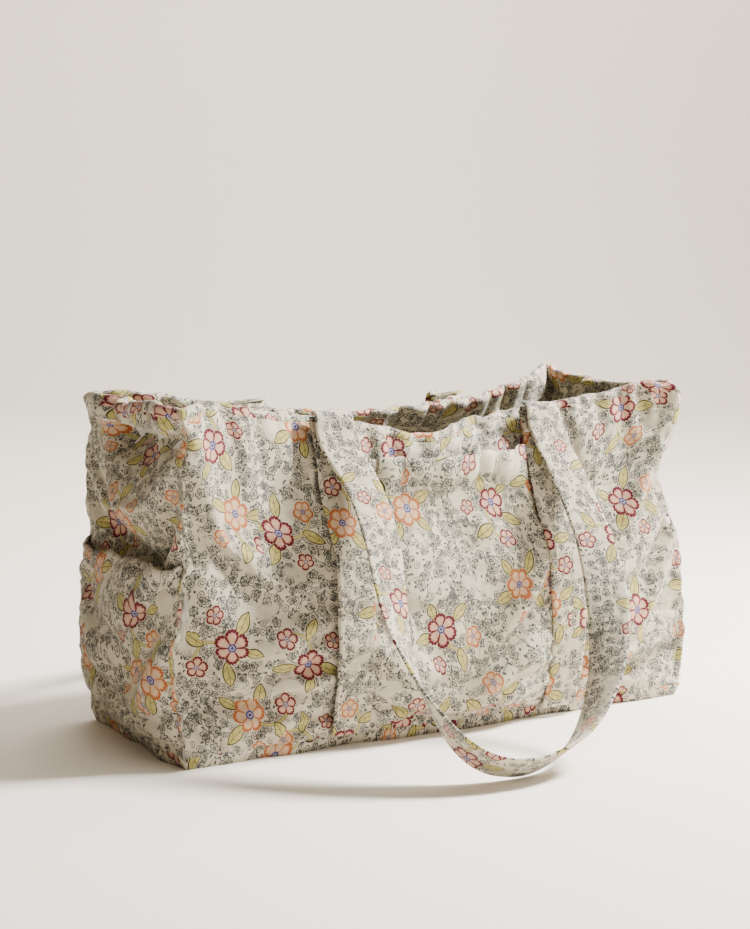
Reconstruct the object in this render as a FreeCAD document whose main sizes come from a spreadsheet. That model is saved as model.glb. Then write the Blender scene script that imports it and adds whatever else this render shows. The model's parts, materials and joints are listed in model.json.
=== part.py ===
"""A soft, padded knitting bag: five sewn panels with wadding and lining, four patch pockets, and two handles.

All sizes are in millimetres. The origin is on the floor under the middle of the bag: +X runs along the
bag's length, -Y is the front and +Z is up. Each sub-part is one object whose Label names its STEP file.
The walls belly out below and lean in over the mouth, so every layer of cloth is the space between two
lofted forms of the bag, one a little smaller than the other.
"""
import FreeCAD, Part
import math
import os

import Sketcher
from FreeCAD import Placement, Rotation, Vector

doc = FreeCAD.newDocument("knitting_bag")

# ---------------------------------------------------------------- driving dimensions
DIMENSIONS = {
    "width": 486,              # corner seam to corner seam along X
    "depth": 192,              # corner seam to corner seam along Y
    "height": 280,             # floor to the top of a corner
    "base_seam": 18,           # height of the seam between the base and the walls
    "cloth": 1.5,
    "wadding": 4,
    "lining": 1,
    "facing": 1,
    "board": 2.5,
    "board_inset": 24,         # from the corner seams' outline to the board's edge
    "facing_bottom": 216,      # height of the facing's lower edge inside the mouth
    "front_sag": 30,           # how far the mouth's edge dips in the middle of the front and the back
    "front_dip_half": 220,     # half the length of that dip
    "end_sag": 8,              # how far it dips in the middle of each end
    "end_dip_half": 80,
    "strap_width": 34,
    "strap_thick": 3,
    "strap_middle": 102,       # from the bag's centre plane to the middle of each strap
    "run_bottom": 20,
    "run_top": 256,            # top of the sewn length of strap
    "hinge_height": 257,       # the fold about which a handle swings
    "hinge_out": 74,           # that fold's distance from the bag's centre plane
    "handle_reach": 307,       # the fold to the middle of the handle's bend
    "pocket_cloth": 1.6,
    "front_pocket_half": 85,   # half the mouth of a front or back pocket
    "front_pocket_top": 230,
    "end_pocket_top": 158,
    "snap_radius": 9,
    "snap_height": 234,
    "snap_out": 66,            # from the bag's centre plane to the back of each half of the snap
    "snap_tilt": 35,           # how far the wall under it leans, in degrees
    "snap_plate": 1.4,
    "socket_depth": 3,
    "stud_radius": 3.5,
    "stud_length": 3.2,
    "snap_play": 0.3,
}

# The walls' shape, level by level from the floor: height, how far the outline is tucked in, how far the
# front and the ends bow out from a straight line between the corner seams (inwards where negative), and
# how far the front and the end pockets stand out from that.
LEVELS = {
    "floor": (0, 8, 1, 1, 2, 0),
    "roll": (9, 2, 3, 3, 2, 0),
    "foot": (30, 0, 7, 5, 3, 3),
    "belly": (95, 0, 15, 11, 10, 9),
    "chest": (170, 0, 9, 8, 15, 12),
    "neck": (228, 0, -16, 2, 32, 12),
    "mouth": (280, 0, -54, -8, 60, 12),
}
LEVEL_FIELDS = ("up", "tuck", "front_bow", "end_bow", "front_pocket", "end_pocket")

cells = dict(DIMENSIONS)
for level, numbers in LEVELS.items():
    for field, number in zip(LEVEL_FIELDS, numbers):
        cells[f"{level}_{field}"] = number
sheet = doc.addObject("Spreadsheet::Sheet", "dims")
for row, (alias, value) in enumerate(cells.items(), start=1):
    sheet.set(f"A{row}", alias)
    sheet.set(f"B{row}", str(value))
    sheet.setAlias(f"B{row}", alias)
doc.recompute()

SPARE = 40          # how far a cutting solid runs past what it cuts
ZONE_OUT = 20       # how far a wall's zone reaches outside the corner seams' outline
ZONE_IN = 76        # and how far inside it
AXIS_Z = Vector(0, 0, 1)
FRONT_AND_BACK = {"front": 0, "back": 180}      # each wall's turn about Z
ENDS = {"left_end": -90, "right_end": 90}


def size(alias):
    """A driving dimension, read back from the sheet."""
    return float(getattr(sheet, alias))


def number(formula):
    """What a formula of the sheet's cells comes to."""
    return float(sheet.evalExpression(formula))


def made(kind, label, **formulas):
    """A document object whose properties are bound to formulas of the sheet's cells."""
    thing = doc.addObject(kind, label)
    for name, formula in formulas.items():
        thing.setExpression(name, formula)
    return thing


def box(label, low, high):
    """A box between two corners, each given as three formulas."""
    block = made(
        "Part::Box", label,
        Length=f"({high[0]}) - ({low[0]})",
        Width=f"({high[1]}) - ({low[1]})",
        Height=f"({high[2]}) - ({low[2]})",
    )
    for axis, formula in zip("xyz", low):
        block.setExpression(f"Placement.Base.{axis}", formula)
    return block


def boolean(kind, label, base, tool):
    result = doc.addObject(kind, label)
    result.Base, result.Tool = base, tool
    return result


def cut(label, base, tool):
    return boolean("Part::Cut", label, base, tool)


def common(label, base, tool):
    return boolean("Part::Common", label, base, tool)


def fuse(label, *pieces):
    result = doc.addObject("Part::MultiFuse", label)
    result.Shapes = list(pieces)
    return result


def turned(thing, angle):
    """Turns an object about the bag's middle, as from the front wall to another wall."""
    thing.Placement = Placement(Vector(0, 0, 0), Rotation(AXIS_Z, angle))
    return thing


# ---------------------------------------------------------------- lofted forms
def origin_plane(body, role):
    return next(f for f in body.Origin.OriginFeatures if f.Role == role)


def pin_coordinate(sketch, kind, edge, end, formula):
    """Holds one coordinate of an edge's end at a formula's value, on whichever side of the origin it is."""
    value = number(formula)
    if value >= 0:
        index = sketch.addConstraint(Sketcher.Constraint(kind, -1, 1, edge, end, value))
        sketch.setExpression(f"Constraints[{index}]", formula)
    else:
        index = sketch.addConstraint(Sketcher.Constraint(kind, edge, end, -1, 1, -value))
        sketch.setExpression(f"Constraints[{index}]", f"-({formula})")


def bowed_side(start, end, bow):
    """The arc from start to end whose middle stands out by bow, and whether it runs from end to start."""
    chord = end - start
    outward = Vector(chord.y, -chord.x, 0).normalize()
    half = chord.Length / 2
    radius = (half ** 2 + bow ** 2) / (2 * abs(bow))
    centre = (start + end) * 0.5 + outward * (bow - math.copysign(radius, bow))
    backwards = bow < 0
    first, last = (end, start) if backwards else (start, end)
    angles = [math.atan2(p.y - centre.y, p.x - centre.x) for p in (first, last)]
    if angles[1] < angles[0]:
        angles[1] += 2 * math.pi
    return Part.ArcOfCircle(Part.Circle(centre, AXIS_Z, radius), *angles), backwards


def outline(body, label, up, corners, bows):
    """A four-sided outline at the height up. Corners run counter-clockwise; a side with no bow is straight."""
    sketch = body.newObject("Sketcher::SketchObject", label)
    sketch.AttachmentSupport = [(origin_plane(body, "XY_Plane"), "")]
    sketch.MapMode = "FlatFace"
    sketch.setExpression("AttachmentOffset.Base.z", up)
    places = [Vector(number(x), number(y), 0) for x, y in corners]
    ends = []
    for i, bow in enumerate(bows):
        start, end = places[i], places[(i + 1) % 4]
        if bow is None:
            sketch.addGeometry(Part.LineSegment(start, end), False)
            ends.append((1, 2))
        else:
            arc, backwards = bowed_side(start, end, number(bow))
            sketch.addGeometry(arc, False)
            ends.append((2, 1) if backwards else (1, 2))
    for i in range(4):
        following = (i + 1) % 4
        sketch.addConstraint(
            Sketcher.Constraint("Coincident", i, ends[i][1], following, ends[following][0]))
        pin_coordinate(sketch, "DistanceX", i, ends[i][0], corners[i][0])
        pin_coordinate(sketch, "DistanceY", i, ends[i][0], corners[i][1])
    for i, bow in enumerate(bows):
        if bow is not None:
            (x0, y0), (x1, y1) = corners[i], corners[(i + 1) % 4]
            half_squared = f"((({x1}) - ({x0})) ^ 2 + (({y1}) - ({y0})) ^ 2) / 4"
            radius = f"({half_squared} + ({bow}) ^ 2) / (2 * abs({bow}))"
            index = sketch.addConstraint(Sketcher.Constraint("Radius", i, number(radius)))
            sketch.setExpression(f"Constraints[{index}]", radius)
    return sketch


def loft(label, outlines):
    """A smooth solid through one outline for each level; outlines maps a level to its corners and bows."""
    body = doc.addObject("PartDesign::Body", label)
    sketches = [
        outline(body, f"{label}_at_{level}", f"dims.{level}_up", *shape)
        for level, shape in outlines.items()
    ]
    doc.recompute()
    skin = body.newObject("PartDesign::AdditiveLoft", label + "_skin")
    skin.Profile = sketches[0]
    skin.Sections = sketches[1:]
    doc.recompute()
    return body


def bag_form(label, inset, floor="0", end_extra=""):
    """The bag's outer shape made smaller all round by inset, above the height floor."""
    outlines = {}
    for level in LEVELS:
        half_x = f"(dims.width / 2 - dims.{level}_tuck - ({inset}))"
        half_y = f"(dims.depth / 2 - dims.{level}_tuck - ({inset}))"
        front = f"dims.{level}_front_bow"
        end = f"dims.{level}_end_bow" + (f" + dims.{level}_{end_extra}" if end_extra else "")
        corners = [
            (f"-{half_x}", f"-{half_y}"), (half_x, f"-{half_y}"),
            (half_x, half_y), (f"-{half_x}", half_y),
        ]
        outlines[level] = (corners, [front, end, front, end])
    whole = loft(label, outlines)
    if floor == "0":
        return whole
    below = box(label + "_underneath", ["-dims.width", "-dims.depth", "-1"], ["dims.width", "dims.depth", floor])
    return cut(label + "_above_floor", whole, below)


def patch_form(label, grow):
    """A pocket's bulge on the front wall, made larger by grow."""
    outlines = {}
    share = "(1 - (2 * dims.front_pocket_half / dims.width) ^ 2)"
    for level in LEVELS:
        edge = f"(dims.depth / 2 - dims.{level}_tuck + dims.{level}_front_bow * {share} + ({grow}))"
        half = f"(dims.front_pocket_half - dims.pocket_cloth + ({grow}))"
        behind = f"-dims.depth / 2 + {ZONE_IN}"
        corners = [(f"-{half}", f"-{edge}"), (half, f"-{edge}"), (half, behind), (f"-{half}", behind)]
        outlines[level] = (corners, [f"dims.{level}_front_pocket", None, None, None])
    return loft(label, outlines)


# ---------------------------------------------------------------- the shape of each layer
UNDER_CLOTH = "dims.cloth"
UNDER_WADDING = "dims.cloth + dims.wadding"
UNDER_LINING = "dims.cloth + dims.wadding + dims.lining"
UNDER_FACING = "dims.cloth + dims.wadding + dims.lining + dims.facing"
ON_BOARD = "dims.cloth + dims.wadding + dims.board"
ON_LINING = ON_BOARD + " + dims.lining"

outside = bag_form("outside_form", "0")
cloth_inside = bag_form("cloth_form", UNDER_CLOTH, UNDER_CLOTH)
wadding_inside = bag_form("wadding_form", UNDER_WADDING, UNDER_WADDING)
lining_outside = cut(
    "lining_form", wadding_inside,
    box("board_space", ["-dims.width", "-dims.depth", "-1"], ["dims.width", "dims.depth", ON_BOARD]))
lining_inside = bag_form("room_form", UNDER_LINING, ON_LINING)
facing_inside = bag_form("mouth_form", UNDER_FACING, ON_LINING)


def rim_cutter(label, lowered):
    """Everything above the mouth's edge, lowered by a formula: a flat top with a dip in each wall."""
    top = f"dims.height - ({lowered})"
    slab = box(label + "_slab", ["-dims.width", "-dims.depth", top],
               ["dims.width", "dims.depth", f"dims.height + {SPARE}"])
    dips = []
    for wall, half, sag, reach, axis, side, start in (
        ("front", "dims.front_dip_half", "dims.front_sag", "dims.depth", Vector(1, 0, 0), "y", "dims.depth"),
        ("end", "dims.end_dip_half", "dims.end_sag", "dims.width", Vector(0, 1, 0), "x", "-dims.width"),
    ):
        radius = f"(({half}) ^ 2 + ({sag}) ^ 2) / (2 * ({sag}))"
        dip = made("Part::Cylinder", f"{label}_{wall}_dip", Radius=radius, Height=f"2 * ({reach})")
        dip.Placement = Placement(Vector(0, 0, 0), Rotation(axis, 90))
        dip.setExpression("Placement.Base.z", f"{top} - ({sag}) + {radius}")
        dip.setExpression(f"Placement.Base.{side}", start)
        dips.append(dip)
    return fuse(label, slab, *dips)


above_cloth = rim_cutter("above_the_walls", "dims.facing")
above_facing = rim_cutter("above_the_facing", "0")


def layer(label, outer, inner):
    """One layer of the whole bag, trimmed at the mouth."""
    return cut(label, cut(label + "_full", outer, inner), above_cloth)


def wall_zone(label, long_half, near, turn):
    """A wedge that holds one wall, mitred at 45 degrees through its two corner seams."""
    wedge = made(
        "Part::Wedge", label,
        Xmin=f"-({long_half}) - {ZONE_OUT}", Xmax=f"{long_half} + {ZONE_OUT}",
        X2min=f"-({long_half}) + {ZONE_IN}", X2max=f"{long_half} - {ZONE_IN}",
        Ymin=f"-({near}) - {ZONE_OUT}", Ymax=f"-({near}) + {ZONE_IN}",
        Zmin="dims.base_seam", Zmax=f"dims.height + {SPARE}",
        Z2min="dims.base_seam", Z2max=f"dims.height + {SPARE}",
    )
    return turned(wedge, turn)


zones = {
    wall: wall_zone(wall + "_zone", "dims.width / 2", "dims.depth / 2", turn)
    for wall, turn in FRONT_AND_BACK.items()
}
zones.update({
    wall: wall_zone(wall + "_zone", "dims.depth / 2", "dims.width / 2", turn)
    for wall, turn in ENDS.items()
})
zones["base"] = box(
    "base_zone", ["-dims.width", "-dims.depth", "-1"], ["dims.width", "dims.depth", "dims.base_seam"])

parts = []
for piece, outer, inner in (
    ("panel", outside, cloth_inside),
    ("wadding", cloth_inside, wadding_inside),
    ("lining", lining_outside, lining_inside),
):
    whole_layer = layer(piece + "_layer", outer, inner)
    for wall, zone in zones.items():
        parts.append(common(f"{wall}_{piece}", whole_layer, zone))

# ---------------------------------------------------------------- base board and facing
board_half_x = "dims.width / 2 - dims.board_inset"
board_half_y = "dims.depth / 2 - dims.board_inset"
parts.append(box(
    "base_board",
    [f"-({board_half_x})", f"-({board_half_y})", UNDER_WADDING],
    [board_half_x, board_half_y, ON_BOARD],
))

facing_band = cut("facing_band", lining_inside, facing_inside)
below_facing = box("below_the_facing", ["-dims.width", "-dims.depth", "-1"],
                   ["dims.width", "dims.depth", "dims.facing_bottom"])
facing_inner = cut("facing_inner", cut("facing_upper", facing_band, below_facing), above_cloth)
facing_cap = cut(
    "facing_cap",
    cut("rim_blank", common("rim_block", outside, above_cloth), above_facing),
    facing_inside,
)
parts.append(fuse("rim_facing", facing_inner, facing_cap))

# ---------------------------------------------------------------- pockets and sewn straps
over_pocket = bag_form("over_pocket_form", "-dims.pocket_cloth")
over_run = bag_form("over_run_form", "-dims.strap_thick")
over_both = bag_form("over_both_form", "-dims.pocket_cloth - dims.strap_thick")
end_pocket_room = bag_form("end_pocket_room_form", "0", end_extra="end_pocket")
end_pocket_outer = bag_form("end_pocket_form", "-dims.pocket_cloth", end_extra="end_pocket")
front_pocket_room = patch_form("front_pocket_room_form", "0")
front_pocket_outer = patch_form("front_pocket_form", "dims.pocket_cloth")

strap_inner_edge = "dims.strap_middle - dims.strap_width / 2"
strap_outer_edge = "dims.strap_middle + dims.strap_width / 2"


def slice_of(label, outer, inner, low, high):
    """The layer between two forms, inside a box in front of the bag's middle."""
    window = box(label + "_window", low, high)
    return common(label, cut(label + "_layer", outer, inner), window)


def front_pocket(label, turn):
    """A patch pocket that stands out between the sewn straps, with a flange under each of them."""
    room = cut(
        label + "_room", front_pocket_room,
        box(label + "_hem_fold", ["-dims.width", "-dims.depth", "-1"],
            ["dims.width", "dims.depth", "dims.run_bottom + dims.pocket_cloth"]))
    sheet_low = ["-dims.width / 2", f"-dims.depth / 2 - {SPARE}", "dims.run_bottom"]
    bulge = cut(
        label + "_bulge",
        slice_of(label + "_sheet", front_pocket_outer, room,
                 sheet_low, ["dims.width / 2", "0", "dims.front_pocket_top"]),
        outside)
    flanges = [
        slice_of(f"{label}_{side}_flange", over_pocket, outside,
                 [low, f"-dims.depth / 2 - {SPARE}", "dims.run_bottom"],
                 [high, "0", "dims.front_pocket_top"])
        for side, low, high in (
            ("left", f"-({strap_outer_edge}) + 2", "-dims.front_pocket_half"),
            ("right", "dims.front_pocket_half", f"{strap_outer_edge} - 2"),
        )
    ]
    return turned(fuse(label, bulge, *flanges), turn)


def end_pocket(label, turn):
    """A patch pocket sewn into the two corner seams of an end. It is made on the right end and turned."""
    sheet_shape = slice_of(
        label + "_sheet", end_pocket_outer, end_pocket_room,
        ["0", "-dims.depth / 2 + 1", "dims.run_bottom"],
        [f"dims.width / 2 + {SPARE}", "dims.depth / 2 - 1", "dims.end_pocket_top"])
    return turned(cut(label, sheet_shape, outside), turn)


def strap_run(label, middle, turn):
    """The length of strap sewn up a wall: over the pocket's flange, then on the wall itself to the mouth."""
    low_x, high_x = f"({middle}) - dims.strap_width / 2", f"({middle}) + dims.strap_width / 2"
    lower = slice_of(
        label + "_lower", over_both, over_pocket,
        [low_x, f"-dims.depth / 2 - {SPARE}", "dims.run_bottom"],
        [high_x, "0", "dims.front_pocket_top + dims.strap_thick"])
    upper = slice_of(
        label + "_upper", over_run, outside,
        [low_x, f"-dims.depth / 2 - {SPARE}", "dims.front_pocket_top"],
        [high_x, "0", "dims.run_top"])
    return turned(fuse(label, lower, upper), turn)


for wall, turn in FRONT_AND_BACK.items():
    parts.append(front_pocket(f"{wall}_pocket", turn))
    for side, sign in (("left", "-"), ("right", "")):
        parts.append(strap_run(f"{wall}_{side}_strap_run", f"{sign}dims.strap_middle", turn))
for label, turn in (("right_end_pocket", 0), ("left_end_pocket", 180)):
    parts.append(end_pocket(label, turn))

# ---------------------------------------------------------------- handles
# The handle's middle line in its own plane, from one fold to the other: X along the bag as a share of
# strap_middle, then the distance from the fold as a share of handle_reach. A soft strap hangs unevenly.
HANDLE_LINE = [
    (-1.0, 0.0), (-1.0, 0.3), (-1.02, 0.6), (-0.95, 0.8), (-0.66, 0.955), (-0.3, 1.0),
    (0.1, 0.97), (0.5, 0.865), (0.82, 0.67), (1.0, 0.4), (1.03, 0.18), (1.0, 0.0),
]
HANDLE_SECTIONS = 40


def handle_shape():
    """A flat strap that leaves both folds flat and turns on edge towards its bend, hanging along -Z."""
    reach, middle = size("handle_reach"), size("strap_middle")
    half, thick = size("strap_width") / 2, size("strap_thick") / 2
    normal = Vector(0, 1, 0)
    line = Part.BSplineCurve()
    line.interpolate([Vector(x * middle, 0, -s * reach) for x, s in HANDLE_LINE])
    sections = []
    for i in range(HANDLE_SECTIONS + 1):
        share = i / HANDLE_SECTIONS
        at = line.FirstParameter + share * (line.LastParameter - line.FirstParameter)
        point = line.value(at)
        along = line.tangent(at)[0]
        if i in (0, HANDLE_SECTIONS):
            along = Vector(0, 0, -1 if i == 0 else 1)
        across = normal.cross(along).normalize()
        twist = -math.pi / 2 * math.sin(math.pi * share) ** 4
        wide = across * math.cos(twist) + normal * math.sin(twist)
        flat = wide.cross(along).normalize()
        corners = [
            point + wide * (half * a) + flat * (thick * b)
            for a, b in ((-1, -1), (1, -1), (1, 1), (-1, 1), (-1, -1))
        ]
        sections.append(Part.makePolygon(corners))
    strap = Part.makeLoft(sections, True, True)
    for side in (-1, 1):
        fold = Part.makeCylinder(
            thick, 2 * half, Vector(side * middle - half, 0, 0), Vector(1, 0, 0))
        strap = strap.fuse(fold)
    return strap


def lean_until_resting(strap):
    """The angle from upright at which a hanging strap's bend rests on the floor."""
    steep, shallow = 0.0, 80.0
    for _ in range(30):
        angle = (steep + shallow) / 2
        leaning = strap.copy()
        leaning.rotate(Vector(0, 0, 0), Vector(1, 0, 0), -angle)
        if size("hinge_height") + leaning.BoundBox.ZMin < 0:
            steep = angle
        else:
            shallow = angle
    return shallow


hanging = handle_shape()
lean = lean_until_resting(hanging)
for wall, turn in FRONT_AND_BACK.items():
    handle = doc.addObject("Part::Feature", f"{wall}_handle")
    handle.Shape = hanging
    leaning = Placement(
        Vector(0, -size("hinge_out"), size("hinge_height")), Rotation(Vector(1, 0, 0), -lean))
    handle.Placement = Placement(Vector(0, 0, 0), Rotation(AXIS_Z, turn)) * leaning
    parts.append(handle)


# ---------------------------------------------------------------- magnetic snap
def disc(label, radius, depth, start):
    """A disc on the front wall's facing, its back face start away from the snap's place."""
    cylinder = made("Part::Cylinder", label, Radius=radius, Height=depth)
    cylinder.Placement = Placement(Vector(0, 0, 0), Rotation(Vector(1, 0, 0), -90 - size("snap_tilt")))
    cylinder.setExpression("Placement.Base.y", f"-dims.snap_out + ({start}) * cos(dims.snap_tilt * 1 deg)")
    cylinder.setExpression("Placement.Base.z", f"dims.snap_height - ({start}) * sin(dims.snap_tilt * 1 deg)")
    return cylinder


socket_body = disc("socket_body", "dims.snap_radius", "dims.socket_depth", "0")
socket_hole = disc("socket_hole", "dims.stud_radius + dims.snap_play", "dims.socket_depth", "dims.snap_plate")
parts.append(cut("snap_socket", socket_body, socket_hole))
stud_plate = disc("stud_plate", "dims.snap_radius", "dims.snap_plate", "0")
stud_pin = disc("stud_pin", "dims.stud_radius", "dims.snap_plate + dims.stud_length", "0")
parts.append(turned(fuse("snap_stud", stud_plate, stud_pin), FRONT_AND_BACK["back"]))

# ---------------------------------------------------------------- checks and STEP files
doc.recompute()
for thing in doc.Objects:
    if {"Invalid", "Error"} & set(thing.State):
        raise RuntimeError(f"{thing.Label} failed: {thing.State}")

os.makedirs("parts", exist_ok=True)
for part in parts:
    shape = part.Shape
    if shape.isNull() or not shape.isValid() or not shape.Solids or shape.Volume <= 0:
        raise RuntimeError(f"{part.Label} has no valid solid")
    shape.exportStep(f"parts/{part.Label}.step")
    extent = shape.BoundBox
    print(f"{part.Label:24s} {len(shape.Solids)} solid(s) {shape.Volume / 1000:8.1f} cm3  "
          f"x {extent.XMin:.1f}..{extent.XMax:.1f}  y {extent.YMin:.1f}..{extent.YMax:.1f}  "
          f"z {extent.ZMin:.1f}..{extent.ZMax:.1f}")
print(f"handles lean out by {lean:.3f} degrees")
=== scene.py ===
"""The looks of the knitting bag: soft padded walls in a small floral print, patch pockets and flat straps.

Lengths are in metres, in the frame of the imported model. The walls are one ring of cloth, shaped by
formulas and then relaxed by a cloth simulation, and every other piece is laid on that ring.
"""
import json
import math

import bpy
import numpy as np
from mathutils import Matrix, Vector, noise


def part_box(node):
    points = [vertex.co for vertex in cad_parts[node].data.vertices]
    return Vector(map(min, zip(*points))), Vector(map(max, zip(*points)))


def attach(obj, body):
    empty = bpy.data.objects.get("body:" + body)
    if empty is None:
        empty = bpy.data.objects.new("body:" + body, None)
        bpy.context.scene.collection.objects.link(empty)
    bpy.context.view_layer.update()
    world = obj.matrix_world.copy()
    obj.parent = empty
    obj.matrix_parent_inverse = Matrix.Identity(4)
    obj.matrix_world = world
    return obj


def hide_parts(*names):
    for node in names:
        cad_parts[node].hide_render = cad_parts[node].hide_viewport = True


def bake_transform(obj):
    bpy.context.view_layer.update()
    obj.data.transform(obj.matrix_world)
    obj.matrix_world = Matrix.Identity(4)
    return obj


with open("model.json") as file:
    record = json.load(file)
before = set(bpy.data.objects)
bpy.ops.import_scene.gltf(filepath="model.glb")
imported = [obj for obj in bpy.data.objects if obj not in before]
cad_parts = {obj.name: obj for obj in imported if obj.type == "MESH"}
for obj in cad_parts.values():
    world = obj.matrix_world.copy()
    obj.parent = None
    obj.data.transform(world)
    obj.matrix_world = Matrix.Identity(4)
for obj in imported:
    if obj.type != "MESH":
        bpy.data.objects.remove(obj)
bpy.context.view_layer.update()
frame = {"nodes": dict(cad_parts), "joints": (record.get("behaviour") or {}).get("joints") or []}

# ---------------------------------------------------------------- sizes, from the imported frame
MM = 0.001
RIM_LOW, RIM_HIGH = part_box("rim_facing")
HALF_LENGTH = RIM_HIGH.x
HALF_DEPTH = RIM_HIGH.y
CORNER_TOP = RIM_HIGH.z
FACING_DROP = CORNER_TOP - RIM_LOW.z
BASE_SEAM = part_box("front_panel")[0].z * 0.55       # the padded walls sag over the base seam
RUN_LOW, RUN_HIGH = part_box("front_right_strap_run")
STRAP_WIDTH = RUN_HIGH.x - RUN_LOW.x
STRAP_MIDDLE = (RUN_HIGH.x + RUN_LOW.x) / 2
RUN_TOP = RUN_HIGH.z
POCKET_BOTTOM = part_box("front_pocket")[0].z
FRONT_POCKET_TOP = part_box("front_pocket")[1].z
END_POCKET_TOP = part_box("left_end_pocket")[1].z
HINGE = Vector(frame["joints"][0]["pos_m"])
HANDLE_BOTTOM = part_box("front_handle")[0].z
STRAP_THICK = 3 * MM
CLOTH_THICK = 1.5 * MM
WADDING_THICK = 4 * MM
LINING_THICK = 1 * MM
WALL_THICK = CLOTH_THICK + WADDING_THICK + LINING_THICK
BOARD_ROOM = 3 * MM         # the room for the stiff board between the base's wadding and its lining
POCKET_THICK = 1.6 * MM

# The walls level by level: height, how far all of them tuck in, how far the long ones and the ends bow out.
LEVELS = MM * np.array([
    (0, -3, 1, 1),
    (9, -3, 3, 3),
    (30, -1, 10, 6),
    (95, 0, 24, 13),
    (170, 0, 13, 9),
    (228, 0, -16, 2),
    (280, 0, -64, -8),
])
# How far the rim sags in the middle of the long walls and of the ends, and half the length that it sags over.
FRONT_SAG, FRONT_SAG_HALF = 26 * MM, 220 * MM
END_SAG, END_SAG_HALF = 8 * MM, 80 * MM
FRONT_DIP = (10 * MM, -12 * MM, 46 * MM)    # the front rim's own dip: how deep, where along, how wide
# How far each corner's tip stands above the rim beside it, by wall and by which end of it.
CORNER_TIPS = {
    ("front", -1): -9 * MM, ("left_end", 1): -9 * MM,
    ("front", 1): -5 * MM, ("right_end", -1): -5 * MM,
    ("right_end", 1): 4 * MM, ("back", -1): 4 * MM,
    ("back", 1): -9 * MM, ("left_end", -1): -9 * MM,
}
TIP_SPREAD = 24 * MM
# Where the upright seams pull in, left and right: how far, at what height, and over what spread.
SEAM_PINCHES = {
    -1: MM * np.array([(4, 162, 14), (-8, 85, 50), (5, 250, 14)]),
    1: MM * np.array([(24, 200, 40), (-6, 60, 50), (12, 290, 16)]),
}
# How far the walls round in at the foot: the left and right ends, then the back, each with its spread.
FOOT_TUCK, FOOT_TUCK_SPREAD = {-1: 3 * MM, 1: 9 * MM}, 26 * MM
BACK_TUCK, BACK_TUCK_SPREAD = 14 * MM, 30 * MM
# The loose cloth along the long walls' rim: how far it ruffles, how wide a ruffle is, and where it sets in.
RUFFLE = {"front": 6 * MM, "back": 11 * MM}
RUFFLE_WIDE, RUFFLE_FROM, RUFFLE_RISE = 17 * MM, 205 * MM, 50 * MM
STRAP_VALLEY = 4 * MM       # how deep the sewn straps pull the padding in
# Soft dents in the padding, large and small: how deep, how wide, and the seed of their noise.
LONG_DENTS = ((7 * MM, 58 * MM, 3), (3 * MM, 26 * MM, 4))
END_DENTS = ((6 * MM, 45 * MM, 5), (3 * MM, 22 * MM, 6))
# What the ends do on their way up: how far it goes in or out, at what height, and over what spread.
END_WAIST = (9 * MM, END_POCKET_TOP + 18 * MM, 12 * MM)
END_BULGE = (8 * MM, 212 * MM, 22 * MM)
END_HOLLOW = (15 * MM, 247 * MM, 8 * MM)
END_FLAP = (7 * MM, 254 * MM, 10 * MM)
END_CREASE = (9 * MM, 225 * MM, 40 * MM)
CELL = 6.5 * MM             # the spacing of the cloth's grid

COLUMNS_LONG = round(2 * HALF_LENGTH / CELL)
COLUMNS_END = round(2 * HALF_DEPTH / CELL)
ROWS = round((CORNER_TOP - BASE_SEAM) / CELL)
WALLS = ("front", "right_end", "back", "left_end")
COLUMNS = dict(zip(WALLS, (COLUMNS_LONG, COLUMNS_END, COLUMNS_LONG, COLUMNS_END)))
RING = sum(COLUMNS.values())
FIRST_COLUMN = {wall: sum(COLUMNS[w] for w in WALLS[:i]) for i, wall in enumerate(WALLS)}


def smooth_step(t):
    t = np.clip(t, 0, 1)
    return t * t * (3 - 2 * t)


def bump(x, centre, spread):
    """A smooth hill, 1 at centre."""
    return np.exp(-((x - centre) / spread) ** 2)


def hill(feature, height):
    """A feature, given as reach, place and spread, that is all there at its place and fades away from it."""
    reach, place, spread = feature
    return reach * bump(height, place, spread)


def rise(feature, height):
    """A feature that starts at its place and is all there a spread above it."""
    reach, place, spread = feature
    return reach * smooth_step((height - place) / spread)


def level_value(column, height):
    """One column of LEVELS at a height, joined smoothly."""
    heights, values = LEVELS[:, 0], LEVELS[:, column]
    slopes = np.gradient(values, heights)
    i = np.clip(np.searchsorted(heights, height) - 1, 0, len(heights) - 2)
    gap = heights[i + 1] - heights[i]
    t = (height - heights[i]) / gap
    return ((2 * t ** 3 - 3 * t ** 2 + 1) * values[i] + (t ** 3 - 2 * t ** 2 + t) * gap * slopes[i]
            + (3 * t ** 2 - 2 * t ** 3) * values[i + 1] + (t ** 3 - t ** 2) * gap * slopes[i + 1])


def fractal(point, scale, seed):
    """Smooth noise of a point, about -1 to 1, with features about scale wide."""
    return noise.noise(Vector(point) / scale + Vector((seed, 7 * seed, 3 * seed)))


# ---------------------------------------------------------------- the shape of the walls
def rim_height(wall, across):
    """The mouth's edge above the floor; across runs from -1 to 1 along the wall, seen from outside."""
    if wall in ("front", "back"):
        place = across * HALF_LENGTH
        sag = FRONT_SAG * np.clip(1 - (place / FRONT_SAG_HALF) ** 2, 0, 1)
        if wall == "front":
            sag = sag + hill(FRONT_DIP, place)
        edge = HALF_LENGTH - abs(place)
    else:
        place = across * HALF_DEPTH
        sag = END_SAG * np.clip(1 - (place / END_SAG_HALF) ** 2, 0, 1)
        edge = HALF_DEPTH - abs(place)
    tip = CORNER_TIPS[wall, 1 if across > 0 else -1] * bump(edge, 0, TIP_SPREAD)
    return CORNER_TOP - sag + tip


def seam_pinch(height, side):
    """How far the upright seams at one end pull in at a height; side is -1 left and 1 right."""
    return sum(hill(pinch, height) for pinch in SEAM_PINCHES[side])


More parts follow.
